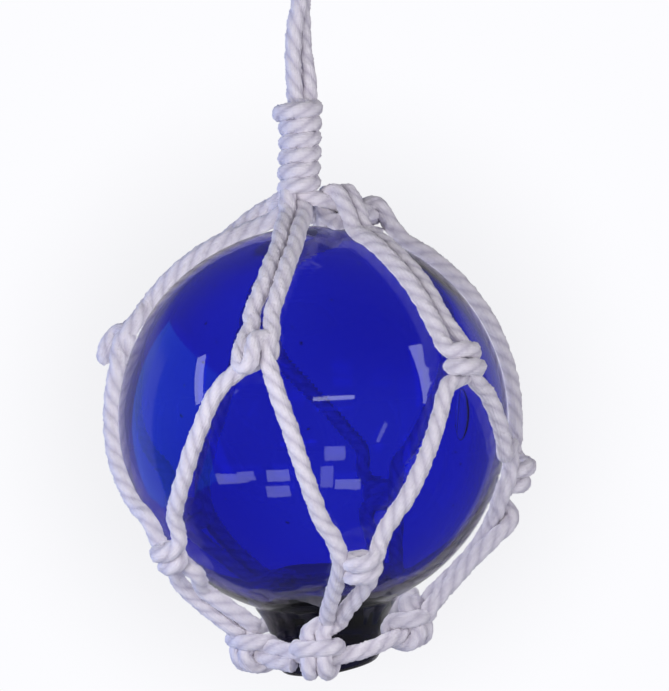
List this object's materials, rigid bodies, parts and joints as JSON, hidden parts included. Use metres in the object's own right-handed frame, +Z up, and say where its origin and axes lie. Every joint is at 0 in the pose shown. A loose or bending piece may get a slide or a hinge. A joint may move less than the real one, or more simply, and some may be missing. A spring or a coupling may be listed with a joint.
{
  "type": "glass float ball",
  "caption": "Round blue blown-glass float with a sealed neck, in a knotted net of white rope, hanging by its rope loop.",
  "frame": {"origin": "inside of the crown of the rope loop, where a hook carries the float", "axes": "+Z up along the hanging rope, -Y towards the viewer, +X to the right"},
  "size_m": [0.1732, 0.1639, 0.3097],
  "materials": {
    "glass": "clear cobalt blue, fire-polished",
    "rope": "matte, three-strand laid cotton"
  },
  "bodies": {
    "root": {"glass_float": "glass", "bottom_ring": "rope", "hanger_knot": "rope", "net_cord_1": "rope", "net_cord_2": "rope", "net_cord_3": "rope", "net_cord_4": "rope", "net_cord_5": "rope", "hanging_loop": "rope"}
  },
  "joints": []
}
